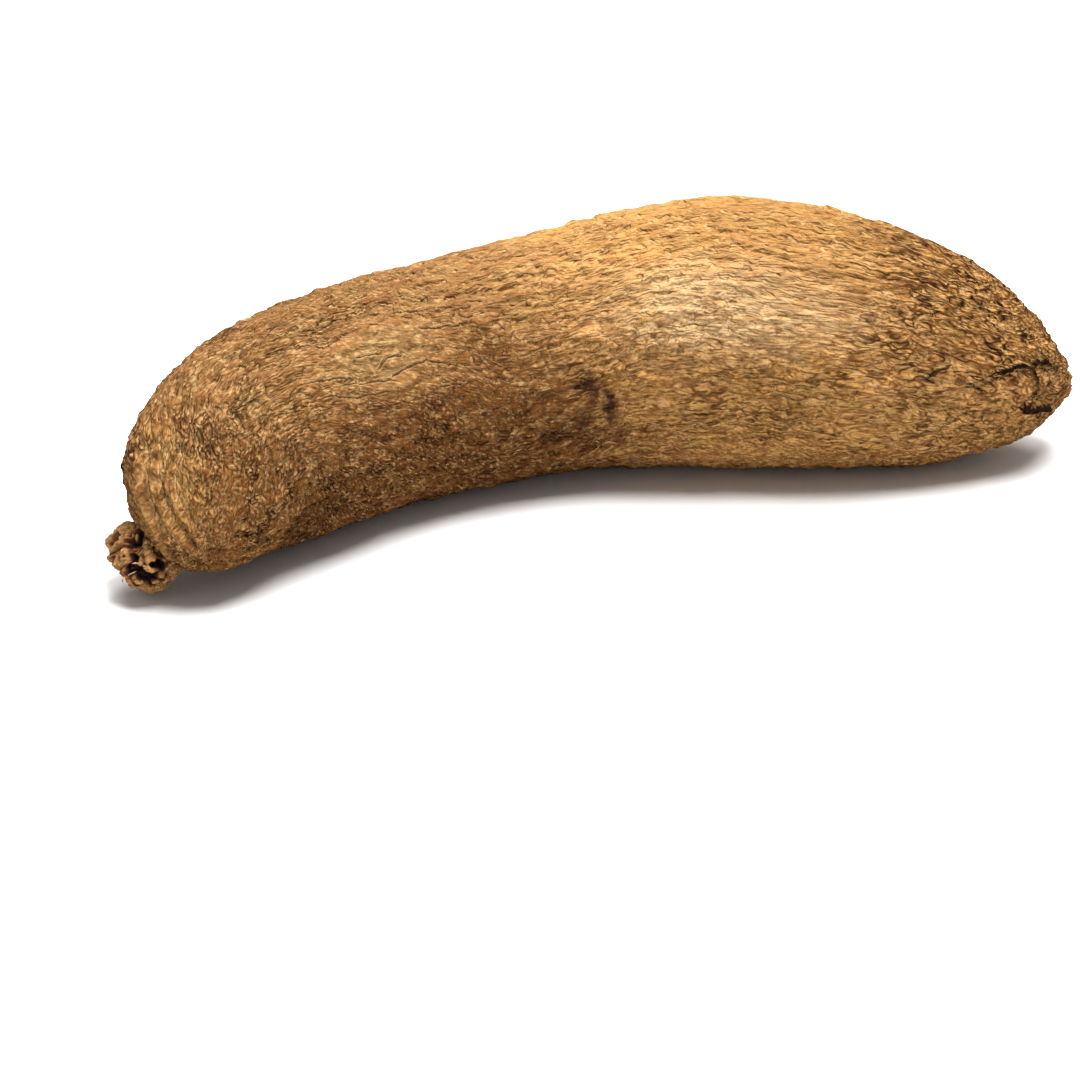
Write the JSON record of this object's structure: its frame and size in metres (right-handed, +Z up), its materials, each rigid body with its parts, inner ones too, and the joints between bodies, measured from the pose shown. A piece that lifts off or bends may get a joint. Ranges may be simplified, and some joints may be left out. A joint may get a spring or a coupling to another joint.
{
  "type": "yam tuber",
  "caption": "Long bowed yam tuber lying on its side, with a blunt crown end that keeps its corky vine knob, a narrowing nose with a small cap, and furrowed bark-like brown skin.",
  "frame": {"origin": "on the ground under the middle of the tuber's bounding box", "axes": "+X from the crown end to the nose end, +Z up, +Y towards the outside of the bow"},
  "size_m": [0.3574, 0.1244, 0.096],
  "materials": {
    "yam_skin": "dry corky skin with wavy lengthwise furrows, rough and matt, ochre on the nose half and darker brown towards the crown"
  },
  "bodies": {
    "root": {"yam_tuber": "yam_skin"}
  },
  "joints": []
}
